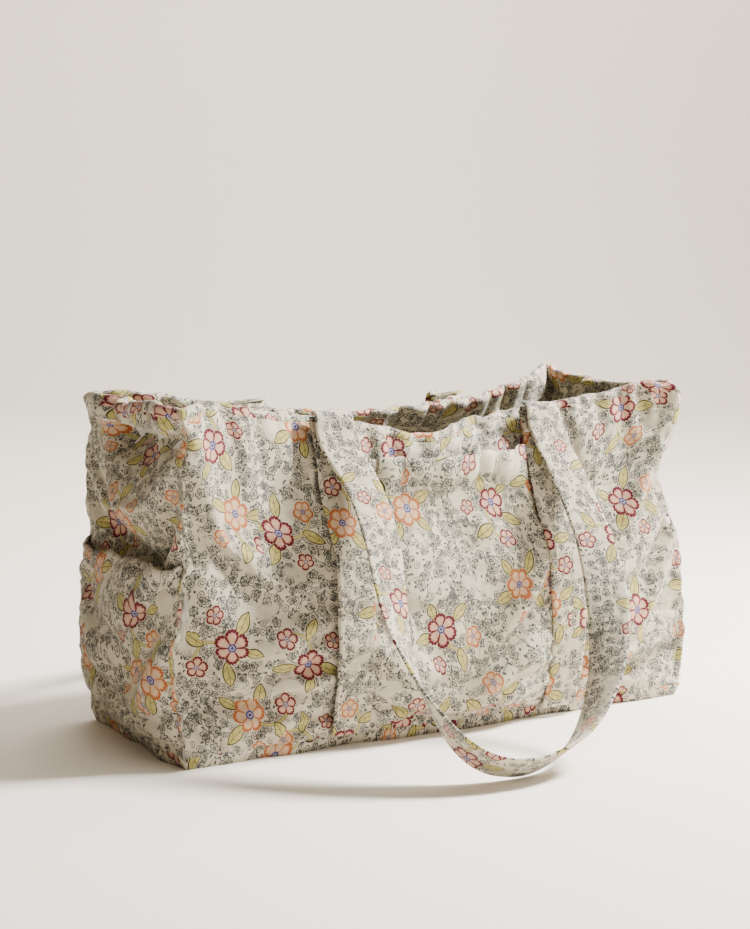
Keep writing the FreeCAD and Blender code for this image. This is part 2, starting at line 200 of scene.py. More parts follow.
def dents(sizes, x, y, height):
    """How far the padding's dents go in or out at a place; the small ones are half as tall."""
    (deep, wide, seed), (small_deep, small_wide, small_seed) = sizes
    return (deep * fractal((x, y, height), wide, seed)
            + small_deep * fractal((x, y, 2 * height), small_wide, small_seed))


def wall_is_behind(wall, across):
    """Whether a place is on the back half of the bag."""
    return wall == "back" or (wall == "left_end" and across < 0) or (wall == "right_end" and across > 0)


def wall_point(wall, across, up):
    """A point of the outer cloth before it is relaxed. up runs from 0 at the base seam to 1 at the rim."""
    height = BASE_SEAM + up * (rim_height(wall, across) - BASE_SEAM)
    tuck = level_value(1, height)
    half_depth = HALF_DEPTH - tuck
    if wall_is_behind(wall, across):
        half_depth -= BACK_TUCK * bump(height, 0, BACK_TUCK_SPREAD)
    foot = bump(height, 0, FOOT_TUCK_SPREAD)
    ends = [HALF_LENGTH - tuck - seam_pinch(height, side) - FOOT_TUCK[side] * foot for side in (-1, 1)]
    if wall in ("front", "back"):
        sign = -1 if wall == "front" else 1
        x = (ends[1] - ends[0]) / 2 - sign * across * (ends[0] + ends[1]) / 2
        bow = level_value(2, height) * (1 - across ** 2)
        loose = (1 - across ** 4) * smooth_step((height - RUFFLE_FROM) / RUFFLE_RISE)
        ruffle = loose * RUFFLE[wall] * fractal((x, sign, 0), RUFFLE_WIDE, 8)
        valley = STRAP_VALLEY * bump(abs(x), STRAP_MIDDLE, 0.8 * STRAP_WIDTH)
        dent = (1 - across ** 6) * dents(LONG_DENTS, x, sign, height)
        return Vector((x, sign * (half_depth + bow + dent - valley) + ruffle, height + 0.3 * ruffle))
    side = 1 if wall == "right_end" else -1
    middle = 1 - across ** 4
    bow = level_value(3, height) * (1 - across ** 2)
    crease = rise(END_CREASE, height) * bump(across, side * 0.25, 0.1)
    hollow = hill(END_HOLLOW, height) * smooth_step((0.7 - side * across) / 0.5) * middle
    waist = hill(END_WAIST, height) * (1 - across ** 2)
    folds = (rise(END_FLAP, height) + hill(END_BULGE, height)) * middle - crease - hollow - waist
    dent = middle * dents(END_DENTS, side, across * HALF_DEPTH, height)
    x = ends[0 if side < 0 else 1] + bow + folds + dent
    return Vector((side * x, side * across * half_depth, height))


def ring_vertices():
    """The wall grid, ring column by ring column, each from the base seam up to the rim."""
    columns = []
    for wall in WALLS:
        for i in range(COLUMNS[wall]):
            across = -1 + 2 * i / COLUMNS[wall]
            columns.append([wall_point(wall, across, j / ROWS) for j in range(ROWS + 1)])
    return np.array(columns)


def base_vertices(border):
    """The base grid inside the ring's lowest row, flat on the floor from half a cell in."""
    n, m = COLUMNS_LONG, COLUMNS_END
    grid = np.zeros((n + 1, m + 1, 3))
    grid[:n, 0] = border[:n]
    grid[n, :m] = border[n:n + m]
    grid[n:0:-1, m] = border[n + m:2 * n + m]
    grid[0, m:0:-1] = border[2 * n + m:]
    for i in range(1, n):
        for j in range(1, m):
            right, back = (i - 0.5) / (n - 1), (j - 0.5) / (m - 1)
            grid[i, j, 0] = grid[0, j, 0] * (1 - right) + grid[n, j, 0] * right
            grid[i, j, 1] = grid[i, 0, 1] * (1 - back) + grid[i, m, 1] * back
    return grid


def shell_mesh():
    """The outer cloth as one welded mesh: the ring of walls, then the base."""
    ring = ring_vertices()
    base = base_vertices(ring[:, 0])
    ring_index = np.arange(RING * (ROWS + 1)).reshape(RING, ROWS + 1)
    n, m = COLUMNS_LONG, COLUMNS_END
    base_index = np.full((n + 1, m + 1), -1)
    base_index[:n, 0] = ring_index[:n, 0]
    base_index[n, :m] = ring_index[n:n + m, 0]
    base_index[n:0:-1, m] = ring_index[n + m:2 * n + m, 0]
    base_index[0, m:0:-1] = ring_index[2 * n + m:, 0]
    inner = base_index < 0
    base_index[inner] = RING * (ROWS + 1) + np.arange(inner.sum())
    vertices = np.vstack([ring.reshape(-1, 3), base[inner]])
    faces = []
    for i in range(RING):
        k = (i + 1) % RING
        for j in range(ROWS):
            faces.append((ring_index[i, j], ring_index[k, j], ring_index[k, j + 1], ring_index[i, j + 1]))
    for i in range(n):
        for j in range(m):
            near, far = base_index[i], base_index[i + 1]
            faces.append((near[j], near[j + 1], far[j + 1], far[j]))
    return vertices, faces, ring_index, base_index


def new_mesh(name, vertices, faces):
    """A new smooth-shaded object."""
    mesh = bpy.data.meshes.new(name)
    mesh.from_pydata([tuple(v) for v in vertices], [], [tuple(int(i) for i in f) for f in faces])
    mesh.validate()
    mesh.polygons.foreach_set("use_smooth", [True] * len(mesh.polygons))
    piece = bpy.data.objects.new(name, mesh)
    bpy.context.scene.collection.objects.link(piece)
    return piece


# How firmly seams, rim, foot and straps are held while the cloth relaxes, and over what distance that fades.
SEAM_HOLD, SEAM_FADE = 0.75, 5 * MM
RIM_HOLD, RIM_FADE = 0.5, 30 * MM
FOOT_HOLD, FOOT_FADE = 0.9, 9 * MM
STRAP_HOLD, STRAP_FADE = 0.4, STRAP_WIDTH / 2
PANEL_HOLD = 0.04


def hold_weights(vertices, ring_index):
    """How firmly each point is held to its shaped place: the base wholly, seams firmly, panels loosely."""
    weights = np.ones(len(vertices))
    for wall in WALLS:
        for i in range(COLUMNS[wall]):
            edge = min(i, COLUMNS[wall] - i) * CELL
            for j in range(ROWS + 1):
                seam = SEAM_HOLD * math.exp(-edge / SEAM_FADE)
                rim = RIM_HOLD * math.exp(-(ROWS - j) * CELL / RIM_FADE)
                foot = FOOT_HOLD * math.exp(-j * CELL / FOOT_FADE)
                strap = 0.0
                if wall in ("front", "back"):
                    place = abs(2 * i / COLUMNS[wall] - 1) * HALF_LENGTH
                    strap = STRAP_HOLD * bump(place, STRAP_MIDDLE, STRAP_FADE)
                weights[ring_index[FIRST_COLUMN[wall] + i, j]] = max(PANEL_HOLD, seam, rim, foot, strap)
    return weights


SPARE_CLOTH = 0.045         # how much larger the cloth is cut than the space it fills
SIM_FRAMES = 16
MOST_MOVE = 14 * MM         # how far the simulation may move a point


def relax(vertices, faces, ring_index):
    """Runs the cloth simulation on the shell and returns where its vertices come to rest."""
    shell = new_mesh("shell_at_work", vertices, faces)
    group = shell.vertex_groups.new(name="held")
    for index, weight in enumerate(hold_weights(vertices, ring_index)):
        group.add([index], float(weight), "REPLACE")
    cloth = shell.modifiers.new("cloth", "CLOTH")
    settings = cloth.settings
    settings.quality = 6
    settings.mass = 0.25
    settings.tension_stiffness = settings.compression_stiffness = 12
    settings.shear_stiffness = 4
    settings.bending_stiffness = 0.35
    settings.tension_damping = settings.compression_damping = 12
    settings.air_damping = 3
    settings.vertex_group_mass = "held"
    settings.pin_stiffness = 1.2
    settings.shrink_min = -SPARE_CLOTH
    settings.shrink_max = -SPARE_CLOTH
    settings.use_pressure = True
    settings.uniform_pressure_force = 0.9
    settings.effector_weights.gravity = 0.6
    cloth.collision_settings.use_collision = False
    cloth.point_cache.frame_start = 1
    cloth.point_cache.frame_end = SIM_FRAMES
    for step in range(1, SIM_FRAMES + 1):
        bpy.context.scene.frame_set(step)
    settled = shell.evaluated_get(bpy.context.evaluated_depsgraph_get())
    flat = np.zeros(len(vertices) * 3)
    settled.data.vertices.foreach_get("co", flat)
    bpy.context.scene.frame_set(1)
    bpy.data.objects.remove(shell)
    move = flat.reshape(-1, 3) - vertices
    length = np.linalg.norm(move, axis=1, keepdims=True)
    return vertices + move * np.minimum(1, MOST_MOVE / np.maximum(length, 1e-9))


start_vertices, shell_faces, ring_index, base_index = shell_mesh()
vertices = relax(start_vertices, shell_faces, ring_index)
vertices[:, 2] = np.maximum(vertices[:, 2], 0)


# ---------------------------------------------------------------- the relaxed walls as grids
def catmull_rom(before, a, b, after, t):
    """A smooth curve's points between a and b."""
    return 0.5 * (2 * a + (b - before) * t + (2 * before - 5 * a + 4 * b - after) * t ** 2
                  + (3 * a - before - 3 * b + after) * t ** 3)


def doubled(grid, closed):
    """The grid with a new smooth row between each two of its first axis."""
    if closed:
        middle = catmull_rom(np.roll(grid, 1, 0), grid, np.roll(grid, -1, 0), np.roll(grid, -2, 0), 0.5)
        return np.stack([grid, middle], 1).reshape(-1, *grid.shape[1:])
    padded = np.concatenate([2 * grid[:1] - grid[1:2], grid, 2 * grid[-1:] - grid[-2:-1]])
    middle = catmull_rom(padded[:-3], grid[:-1], grid[1:], padded[3:], 0.5)
    result = np.empty((2 * len(grid) - 1, *grid.shape[1:]))
    result[::2], result[1::2] = grid, middle
    return result


def ring_normals(ring):
    """The outward normals of a ring whose columns run to the right and whose rows run up."""
    along = np.roll(ring, -1, 0) - np.roll(ring, 1, 0)
    normals = np.cross(along, np.gradient(ring, axis=1))
    return normals / np.maximum(np.linalg.norm(normals, axis=2, keepdims=True), 1e-12)


SEAM_REACH = 13 * MM        # how far the puckers run from a seam
SEAM_DEEP, SEAM_GROOVE = 1.2 * MM, 2.2 * MM     # how deep the seam's groove is, and half its width
PUCKER, PUCKER_WIDE = 1.6 * MM, 9 * MM


def seam_puckers(ring, normals):
    """Draws the corner seams in to a groove, with short puckers running away from them."""
    ring = ring.copy()
    for wall in WALLS:
        first, count = 2 * FIRST_COLUMN[wall], 2 * COLUMNS[wall]
        for i in range(count):
            edge = min(i, count - i) * CELL / 2
            if edge > 5 * SEAM_REACH:
                continue
            for j in range(ring.shape[1]):
                height = ring[first + i, j, 2]
                pucker = PUCKER * fractal((edge / 4, first, height), PUCKER_WIDE, 11)
                pucker *= math.exp(-edge / SEAM_REACH)
                groove = SEAM_DEEP * bump(edge, 0, SEAM_GROOVE)
                ring[first + i, j] += normals[first + i, j] * (pucker - groove)
    return ring


# The folds at the ends' tops: how far in or out, at what height over the front edge, and over what spread.
FOLD_HOLLOW = (11 * MM, 250 * MM, 6.5 * MM)
FOLD_FLAP = (7 * MM, 254 * MM, 7 * MM)
FOLD_CREASE = (6 * MM, 222 * MM, 25 * MM)
FOLD_SLANT = 6 * MM         # how much lower the folds lie at the front edge than in the middle


def end_folds(ring, normals):
    """Folds the ends' tops over: a flap stands out above a deep hollow, with a crease down through it."""
    ring = ring.copy()
    for wall, side, depth in (("left_end", 1, 1.0), ("right_end", -1, 0.6)):
        first, count = 2 * FIRST_COLUMN[wall], 2 * COLUMNS[wall]
        for i in range(1, count):
            across = side * (-1 + 2 * i / count)
            window = smooth_step((across + 0.35) / 0.25) * smooth_step((0.97 - across) / 0.25)
            flap_window = smooth_step((across + 0.75) / 0.2) * smooth_step((0.99 - across) / 0.2)
            crease = bump(across, -0.32, 0.05)
            for j in range(ring.shape[1]):
                height = ring[first + i, j, 2]
                slanted = height + FOLD_SLANT * across
                out = rise(FOLD_FLAP, slanted) * flap_window - hill(FOLD_HOLLOW, slanted) * window
                out -= rise(FOLD_CREASE, height) * crease
                ring[first + i, j] += normals[first + i, j] * out * depth
    return ring


def smoothed(ring, rounds):
    """The ring with its small wrinkles evened out."""
    for _ in range(rounds):
        up = np.concatenate([ring[:, 1:], 2 * ring[:, -1:] - ring[:, -2:-1]], axis=1)
        down = np.concatenate([2 * ring[:, :1] - ring[:, 1:2], ring[:, :-1]], axis=1)
        ring = (2 * ring + np.roll(ring, 1, 0) + np.roll(ring, -1, 0) + up + down) / 6
    return ring


coarse_ring = vertices[ring_index]
fine_ring = doubled(np.swapaxes(doubled(np.swapaxes(coarse_ring, 0, 1), False), 0, 1), True)
fine_ring = end_folds(fine_ring, ring_normals(smoothed(fine_ring, 4)))
even_ring = smoothed(fine_ring, 12)
fine_normals = ring_normals(smoothed(fine_ring, 4))
fine_ring = seam_puckers(fine_ring, fine_normals)


def wall_columns(ring, wall):
    """A wall's part of the fine ring, both corner seams included."""
    first, count = 2 * FIRST_COLUMN[wall], 2 * COLUMNS[wall]
    return ring[[(first + i) % len(ring) for i in range(count + 1)]]


GRIDS = {wall: wall_columns(fine_ring, wall) for wall in WALLS}
EVEN_GRIDS = {wall: wall_columns(even_ring, wall) for wall in WALLS}
NORMALS = {wall: wall_columns(fine_normals, wall) for wall in WALLS}
HALF = {"front": HALF_LENGTH, "back": HALF_LENGTH, "left_end": HALF_DEPTH, "right_end": HALF_DEPTH}
# Where each wall was cut from the printed cloth.
PRINT_PLACE = {"front": (0, 0), "right_end": (0.44, 0.07), "back": (1.1, 0.4), "left_end": (-0.37, 0.13)}


def flat_grid(wall):
    """Where each point of a wall lies on the printed cloth."""
    along = np.linspace(-HALF[wall], HALF[wall], len(GRIDS[wall]))
    start = doubled(start_vertices[ring_index[FIRST_COLUMN[wall] + COLUMNS[wall] // 2]], False)
    up = BASE_SEAM + np.concatenate([[0], np.cumsum(np.linalg.norm(np.diff(start, axis=0), axis=1))])
    place = np.stack(np.meshgrid(along, up, indexing="ij"), axis=2)
    return place + np.array(PRINT_PLACE[wall])


def bilinear(table, column, row):
    """A table's value between its grid points."""
    i = int(min(max(column, 0), table.shape[0] - 1.001))
    j = int(min(max(row, 0), table.shape[1] - 1.001))
    s, t = column - i, row - j
    return ((table[i, j] * (1 - s) + table[i + 1, j] * s) * (1 - t)
            + (table[i, j + 1] * (1 - s) + table[i + 1, j + 1] * s) * t)


def on_wall(wall, place, height, out):
    """A point out from the relaxed wall at a place along it and a height, its small wrinkles bridged."""
    across = place / HALF[wall]
    grid, even, normals = GRIDS[wall], EVEN_GRIDS[wall], NORMALS[wall]
    column = (across + 1) / 2 * (grid.shape[0] - 1)
    row = (height - BASE_SEAM) / (rim_height(wall, across) - BASE_SEAM) * (grid.shape[1] - 1)
    normal = bilinear(normals, column, row)
    normal = normal / np.linalg.norm(normal)
    even_point = bilinear(even, column, row)
    wrinkle = max(0.0, float(np.dot(bilinear(grid, column, row) - even_point, normal)))
    return even_point + normal * (out + wrinkle)


# ---------------------------------------------------------------- making pieces of cloth
def add_print(piece, flat):
    """Gives each corner of the piece's faces its place on the printed cloth, in metres."""
    layer = piece.data.uv_layers.new(name="print")
    loops = np.zeros(len(piece.data.loops), int)
    piece.data.loops.foreach_get("vertex_index", loops)
    layer.data.foreach_set("uv", np.asarray(flat, float)[loops].ravel())
    return piece


def grid_faces(columns, rows, first=0, flip=False, closed=False):
    """The faces of a grid of points; a closed one joins its last column to its first."""
    faces = []
    for i in range(columns if closed else columns - 1):
        for j in range(rows - 1):
            a = first + i * rows + j
            b = first + (i + 1) % columns * rows + j
            corners = (a, b, b + 1, a + 1)
            faces.append(corners[::-1] if flip else corners)
    return faces


def slab(name, outer, inner, flat):
    """A closed piece of cloth between an outer and an inner grid, with the print's places for both."""
    columns, rows = outer.shape[:2]
    count = columns * rows
    faces = grid_faces(columns, rows) + grid_faces(columns, rows, count, flip=True)
    border = [i * rows for i in range(columns)]
    border += [(columns - 1) * rows + j for j in range(1, rows)]
    border += [i * rows + rows - 1 for i in range(columns - 2, -1, -1)]
    border += list(range(rows - 2, 0, -1))
    for k, a in enumerate(border):
        b = border[(k + 1) % len(border)]
        faces.append((b, a, a + count, b + count))
    points = np.vstack([outer.reshape(-1, 3), inner.reshape(-1, 3)])
    piece = new_mesh(name, points, faces)
    return add_print(piece, np.vstack([flat.reshape(-1, 2), flat.reshape(-1, 2)]))


def place_piece(piece, material, slot, *nodes):
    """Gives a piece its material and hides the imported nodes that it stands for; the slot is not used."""
    piece.data.materials.append(material)
    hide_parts(*nodes)
    return piece


def add_node(tree, kind, inputs=None, **settings):
    """A new shader node with these settings, its inputs linked to sockets or set to values."""
    made = tree.nodes.new("ShaderNode" + kind)
    for name, value in settings.items():
        setattr(made, name, value)
    for key, value in (inputs or {}).items():
        if isinstance(value, bpy.types.NodeSocket):
            tree.links.new(value, made.inputs[key])
        else:
            made.inputs[key].default_value = value
    return made


def dry_material(name, colour, roughness=0.85, metallic=0.0):
    """A plain matt surface."""
    material = bpy.data.materials.new(name)
    material.use_nodes = True
    shader = material.node_tree.nodes["Principled BSDF"]
    shader.inputs["Base Color"].default_value = (*colour, 1)
    shader.inputs["Roughness"].default_value = roughness
    shader.inputs["Metallic"].default_value = metallic
    return material


def roughen(tree, height, strength, distance):
    """Makes a height into fine relief on the material's surface."""
    relief = add_node(tree, "Bump", {"Strength": strength, "Distance": distance, "Height": height})
    tree.links.new(relief.outputs[0], tree.nodes["Principled BSDF"].inputs["Normal"])


SHADE, SHINE = 0.72, 1.12   # how much darker and lighter than its colour a mottled surface gets


def grained_material(name, colour, grain, relief, roughness=0.85, stretch=(1, 1, 1), metallic=0.0):
    """A material mottled in specks about grain wide, which also roughen its surface by relief."""
    material = dry_material(name, colour, roughness, metallic)
    tree = material.node_tree
    place = add_node(tree, "TexCoord").outputs["Object"]
    spread = add_node(tree, "Mapping", {"Vector": place, "Scale": stretch}).outputs[0]
    speck = add_node(tree, "TexNoise", {"Vector": spread, "Scale": 1 / grain, "Detail": 4}).outputs[0]
    dark, light = ((*(min(1, share * part) for part in colour), 1) for share in (SHADE, SHINE))
    tone = add_node(tree, "Mix", {"Factor": speck, 6: dark, 7: light}, data_type="RGBA")
    tree.links.new(tone.outputs[2], tree.nodes["Principled BSDF"].inputs["Base Color"])
    roughen(tree, speck, 0.5, relief)
    return material


LINING = grained_material("lining_cotton", (0.66, 0.62, 0.53), 1.1 * MM, 0.4 * MM, stretch=(1, 1, 3))
WADDING = grained_material("wadding_fibre", (0.80, 0.79, 0.75), 3 * MM, 1.5 * MM, roughness=1)
BOARD = grained_material("grey_board", (0.36, 0.33, 0.28), 2 * MM, 0.2 * MM)
STEEL = grained_material("brushed_steel", (0.62, 0.61, 0.58), 0.5 * MM, 0.05 * MM, 0.32, (1, 12, 1), 1.0)


def dress_shown_nodes():
    """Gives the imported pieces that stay, the base board and the two halves of the snap, their finish."""
    for node, material in (("base_board", BOARD), ("snap_stud", STEEL), ("snap_socket", STEEL)):
        for place in frame["nodes"][node].material_slots:
            place.material = material


dress_shown_nodes()


# ---------------------------------------------------------------- materials: a number field made of nodes
class Field:
    """A number that varies over the cloth, made of math nodes."""

    def __init__(self, tree, socket):
        self.tree = tree
        self.socket = socket

    def math(self, operation, *others):
        values = [value.socket if isinstance(value, Field) else value for value in (self, *others)]
        made = add_node(self.tree, "Math", dict(enumerate(values)), operation=operation)
        return Field(self.tree, made.outputs[0])

    def __add__(self, other):
        return self.math("ADD", other)

    def __sub__(self, other):
        return self.math("SUBTRACT", other)

    def __mul__(self, other):
        return self.math("MULTIPLY", other)

    def __truediv__(self, other):
        return self.math("DIVIDE", other)

    __radd__ = __add__
    __rmul__ = __mul__

    def __rsub__(self, other):
        return self.math("MULTIPLY", -1).math("ADD", other)

    def __abs__(self):
        return self.math("ABSOLUTE")

    def below(self, limit, soft=0.25 * MM):
        """1 where this is under the limit, 0 where it is over, with a soft edge."""
        return ((limit - self) / soft + 0.5).math("MINIMUM", 1).math("MAXIMUM", 0)

    def above(self, limit, soft=0.25 * MM):
        return 1 - self.below(limit, soft)

    def line(self, width):
        """1 along a line of this width where this is 0."""
        return abs(self).below(width / 2)


def length_of(x, y):
    return (x * x + y * y).math("SQRT")


def rotated(x, y, angle):
    cosine, sine = angle.math("COSINE"), angle.math("SINE")
    return x * cosine + y * sine, y * cosine - x * sine


class Cloth:
    """A node tree being painted: a colour, and the place on the cloth that everything is drawn from."""

    def __init__(self, tree, colour):
        self.tree = tree
        self.place = add_node(tree, "UVMap", uv_map="print").outputs["UV"]
        ground = add_node(tree, "RGB")
        ground.outputs[0].default_value = (*colour, 1)
        self.colour = ground.outputs[0]

    def paint(self, colour, mask):
        """Paints a colour over what is there, as strongly as the mask says."""
        inputs = {"Factor": mask.socket, 6: self.colour, 7: (*colour, 1)}
        mix = add_node(self.tree, "Mix", inputs, data_type="RGBA")
        self.colour = mix.outputs[2]

    def cells(self, spacing, spread, shift=0.0):
        """Places scattered over the cloth: the way from the nearest, and three random numbers of its own."""
        shifted = {0: self.place, 1: (shift, 2 * shift, 0)}
        moved = add_node(self.tree, "VectorMath", shifted, operation="ADD").outputs[0]
        inputs = {"Vector": moved, "Scale": 1 / spacing, "Randomness": spread}
        scatter = add_node(self.tree, "TexVoronoi", inputs, voronoi_dimensions="2D")
        apart = {0: moved, 1: scatter.outputs["Position"]}
        way = add_node(self.tree, "VectorMath", apart, operation="SUBTRACT")
        axes = add_node(self.tree, "SeparateXYZ", {0: way.outputs[0]})
        chance = add_node(self.tree, "SeparateColor", {0: scatter.outputs["Color"]})
        x, y = (Field(self.tree, axes.outputs[k]) for k in (0, 1))
        return x, y, [Field(self.tree, chance.outputs[k]) for k in range(3)]

    def ripple(self, spacing, detail=1.0):
        """Smooth noise with features about spacing wide."""
        inputs = {"Vector": self.place, "Scale": 1 / spacing, "Detail": detail}
        return Field(self.tree, add_node(self.tree, "TexNoise", inputs, noise_dimensions="2D").outputs[0])


CREAM = (0.52, 0.465, 0.35)
CHARCOAL = (0.022, 0.031, 0.04)
OLIVE = (0.42, 0.36, 0.12)
OLIVE_DARK = (0.03, 0.03, 0.012)
MAROON = (0.085, 0.004, 0.013)
PINK = (0.48, 0.22, 0.175)
ORANGE = (0.34, 0.095, 0.03)
PEACH = (0.54, 0.33, 0.18)
BLUE = (0.02, 0.045, 0.20)
PALE = (0.58, 0.42, 0.27)
INK = 0.93                  # how strongly the grey marks are printed

# How far apart the small marks of the ground lie, and the bends of its vines.
FLOWER_SPACING, CURL_SPACING, SPRIG_SPACING, VINE_SPACING = 9.2 * MM, 8 * MM, 5.2 * MM, 34 * MM


def draw_small_flowers(cloth):
    """The ground: small outlined flowers, curls, sprigs and thin vines in grey."""
    x, y, chance = cloth.cells(FLOWER_SPACING, 0.75)
    r = length_of(x, y)
    angle = y.math("ARCTAN2", x) + chance[1] * 6
    petal = abs((angle * 2.5).math("COSINE"))
    size = 3.0 * MM + chance[2] * (1.3 * MM)
    edge = size * (0.62 + 0.38 * petal)
    flowers = (r - edge).line(0.85 * MM).math("MAXIMUM", (r - 0.9 * MM).line(0.9 * MM))
    shade = (r - edge).below(0) * 0.34
    marks = flowers.math("MAXIMUM", shade) * chance[0].above(0.15, 0.01)

    x, y, chance = cloth.cells(CURL_SPACING, 0.9, shift=0.3)
    r = length_of(x, y)
    turn = r / (1.7 * MM) - y.math("ARCTAN2", x) / (2 * math.pi) + chance[0]
    curl = abs(turn.math("FRACT") - 0.5).below(0.2, 0.12) * r.below(3.3 * MM)
    marks = marks.math("MAXIMUM", curl * chance[1].above(0.3, 0.01))

    x, y, chance = cloth.cells(SPRIG_SPACING, 1.0, shift=0.7)
    x, y = rotated(x, y, chance[0] * 6)
    sprig = (abs(y) - (0.85 * MM - x * x / (3 * MM))).below(0)
    marks = marks.math("MAXIMUM", sprig * chance[1].above(0.35, 0.01))

    trail = abs(cloth.ripple(VINE_SPACING, 1.5) - 0.5)
    crowded = 0.12 + 0.88 * trail.below(0.19, 0.05)
    vine = trail.below(0.006, 0.008)
    return marks * crowded + vine * 0.8 * (1 - marks)


RIB_SPACING = 6.8 * MM      # how far apart a leaf's side veins lie


def draw_leaf(cloth, x, y, centre, direction, long, wide):
    """A pointed leaf with an outline, a middle vein and a few side veins."""
    c, s = math.cos(direction), math.sin(direction)
    dx, dy = x - centre[0], y - centre[1]
    along, aside = dx * c + dy * s, dy * c - dx * s
    swell = 1 - (along / long) * (along / long)
    edge = abs(aside) - swell * wide
    cloth.paint(OLIVE, edge.below(0))
    vein = aside.line(0.45 * MM) * edge.below(0)
    ribs = ((along - abs(aside)) * (2 * math.pi / RIB_SPACING)).math("SINE").above(0.93, 0.08)
    ribs = ribs * edge.below(-0.5 * MM)
    outline = edge.line(0.95 * MM) * abs(along).below(long * 1.04)
    cloth.paint(OLIVE_DARK, outline.math("MAXIMUM", vein).math("MAXIMUM", ribs * 0.6))
    return edge.below(1 * MM)


def draw_stem(cloth, x, y, centre, radius):
    """A curling double line."""
    ring = length_of(x - centre[0], y - centre[1]) - radius
    half = (y - centre[1]).below(1 * MM)
    cloth.paint(OLIVE, ring.line(2.0 * MM) * half)
    cloth.paint(OLIVE_DARK, (abs(ring) - 1.0 * MM).line(0.4 * MM) * half)
    return ring.line(3.2 * MM) * half


def draw_flower(cloth, x, y, centre, radius, petals, chance, turned):
    """A large flower: notched petals with a dark edge, rays and a round eye, in red or in orange."""
    dx, dy = x - centre[0], y - centre[1]
    r = length_of(dx, dy)
    angle = dy.math("ARCTAN2", dx) + turned
    petal = abs((angle * (petals / 2)).math("COSINE"))
    fringe = (angle * (petals * 5)).math("COSINE") * (radius * 0.035)
    edge = radius * (0.66 + 0.34 * petal.math("POWER", 0.55)) + fringe
    red = chance.below(0.55, 0.01)
    inside = (r - edge).below(0)
    cloth.paint(PEACH, inside)
    cloth.paint(PINK, inside * red)
    pale = (r - edge * 0.72).below(0) * petal.above(0.55, 0.25)
    cloth.paint(PALE, pale * 0.75)
    rays = abs((angle * (petals * 2.5)).math("SINE")).below(0.3, 0.3)
    rays = rays * (r - edge * 0.62).below(0, 1 * MM)
    cloth.paint(MAROON, rays * 0.75)
    rim = (r - edge * 0.94).line(radius * 0.2)
    gap = petal.below(0.3, 0.15) * inside
    cloth.paint(ORANGE, rim.math("MAXIMUM", gap * 0.7))
    cloth.paint(MAROON, rim.math("MAXIMUM", gap) * red)
    eye = r.below(radius * 0.24)
    cloth.paint(BLUE, eye)
    cloth.paint(PALE, (r - radius * 0.12).line(0.7 * MM) * 0.7)
    return (r - edge).below(1 * MM)


SPRAY_SPACING = 76 * MM
# A spray's stem: the middle of its curl and its radius. Its leaves, in mm: place, direction in radians, half
# the length and half the width. Its flowers, in mm: place, radius, petals, and which random number colours them.
SPRAY_STEM = ((9 * MM, 12 * MM), 17 * MM)
SPRAY_LEAVES = (((-16, -13), 0.8, 10, 4.6), ((21, -9), 2.3, 9, 4.2),
                ((2, 20), 1.4, 9.5, 4.4), ((-20, 9), 2.6, 8, 3.8))
SPRAY_FLOWERS = (((-5, 1), 12.5, 6, 1), ((23, 11), 8, 5, 2), ((5, -23), 6.5, 5, 1))


def draw_sprays(cloth):
    """The large motifs: a flower with a smaller one, leaves and a curling stem, each turned its own way."""
    x, y, chance = cloth.cells(SPRAY_SPACING, 0.62)
    x, y = rotated(x, y, chance[0] * (2 * math.pi))
    covered = draw_stem(cloth, x, y, *SPRAY_STEM)
    for centre, direction, long, wide in SPRAY_LEAVES:
        centre = (centre[0] * MM, centre[1] * MM)
        mask = draw_leaf(cloth, x, y, centre, direction, long * MM, wide * MM)
        covered = covered.math("MAXIMUM", mask)
    for centre, radius, petals, pick in SPRAY_FLOWERS:
        centre = (centre[0] * MM, centre[1] * MM)
        mask = draw_flower(cloth, x, y, centre, radius * MM, petals, chance[pick], chance[2] * 3)
        covered = covered.math("MAXIMUM", mask)
    return covered


def printed_cloth(name):
    """Cream cotton with a floral print, a soft crinkled relief and a dry surface."""
    material = dry_material(name, CREAM, roughness=0.88)
    tree = material.node_tree
    shader = tree.nodes["Principled BSDF"]
    shader.inputs["Specular IOR Level"].default_value = 0.25
    shader.inputs["Sheen Weight"].default_value = 0.12
    cloth = Cloth(tree, CREAM)
    sprays = draw_sprays(cloth)
    marks = draw_small_flowers(cloth)
    cloth.paint(CHARCOAL, marks * (1 - sprays) * INK)
    tree.links.new(cloth.colour, shader.inputs["Base Color"])
    roughen(tree, cloth.ripple(7 * MM, 3.0).socket, 0.45, 1.2 * MM)
    return material


PRINTED = printed_cloth("printed_cotton")


def wall_layers(wall):
    """A wall's outer cloth, its wadding and its lining, each one inside the other."""
    grid, normals, flat = GRIDS[wall], NORMALS[wall], flat_grid(wall)
    cut = (2 * HALF[wall], flat[0, -1, 1] - flat[0, 0, 1])
    panel = slab(wall + "_cloth", grid, grid - normals * CLOTH_THICK, flat)
    place_piece(panel, PRINTED, "printed_cotton", wall + "_panel")
    under, inside = CLOTH_THICK, CLOTH_THICK + WADDING_THICK
    lining = slab(wall + "_inner_cloth", grid - normals * inside, grid - normals * WALL_THICK, flat)
    place_piece(lining, LINING, "lining", wall + "_lining")
    grid, normals, flat = grid[::2, ::2], normals[::2, ::2], flat[::2, ::2]
    padding = slab(wall + "_padding", grid - normals * under, grid - normals * inside, flat)
    place_piece(padding, WADDING, "wadding", wall + "_wadding")
    for piece in (panel, padding, lining):
        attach(piece, "bag")


for wall in WALLS:
    wall_layers(wall)


# ---------------------------------------------------------------- the base
BASE_PRINT_PLACE = (0.3, 0.9)


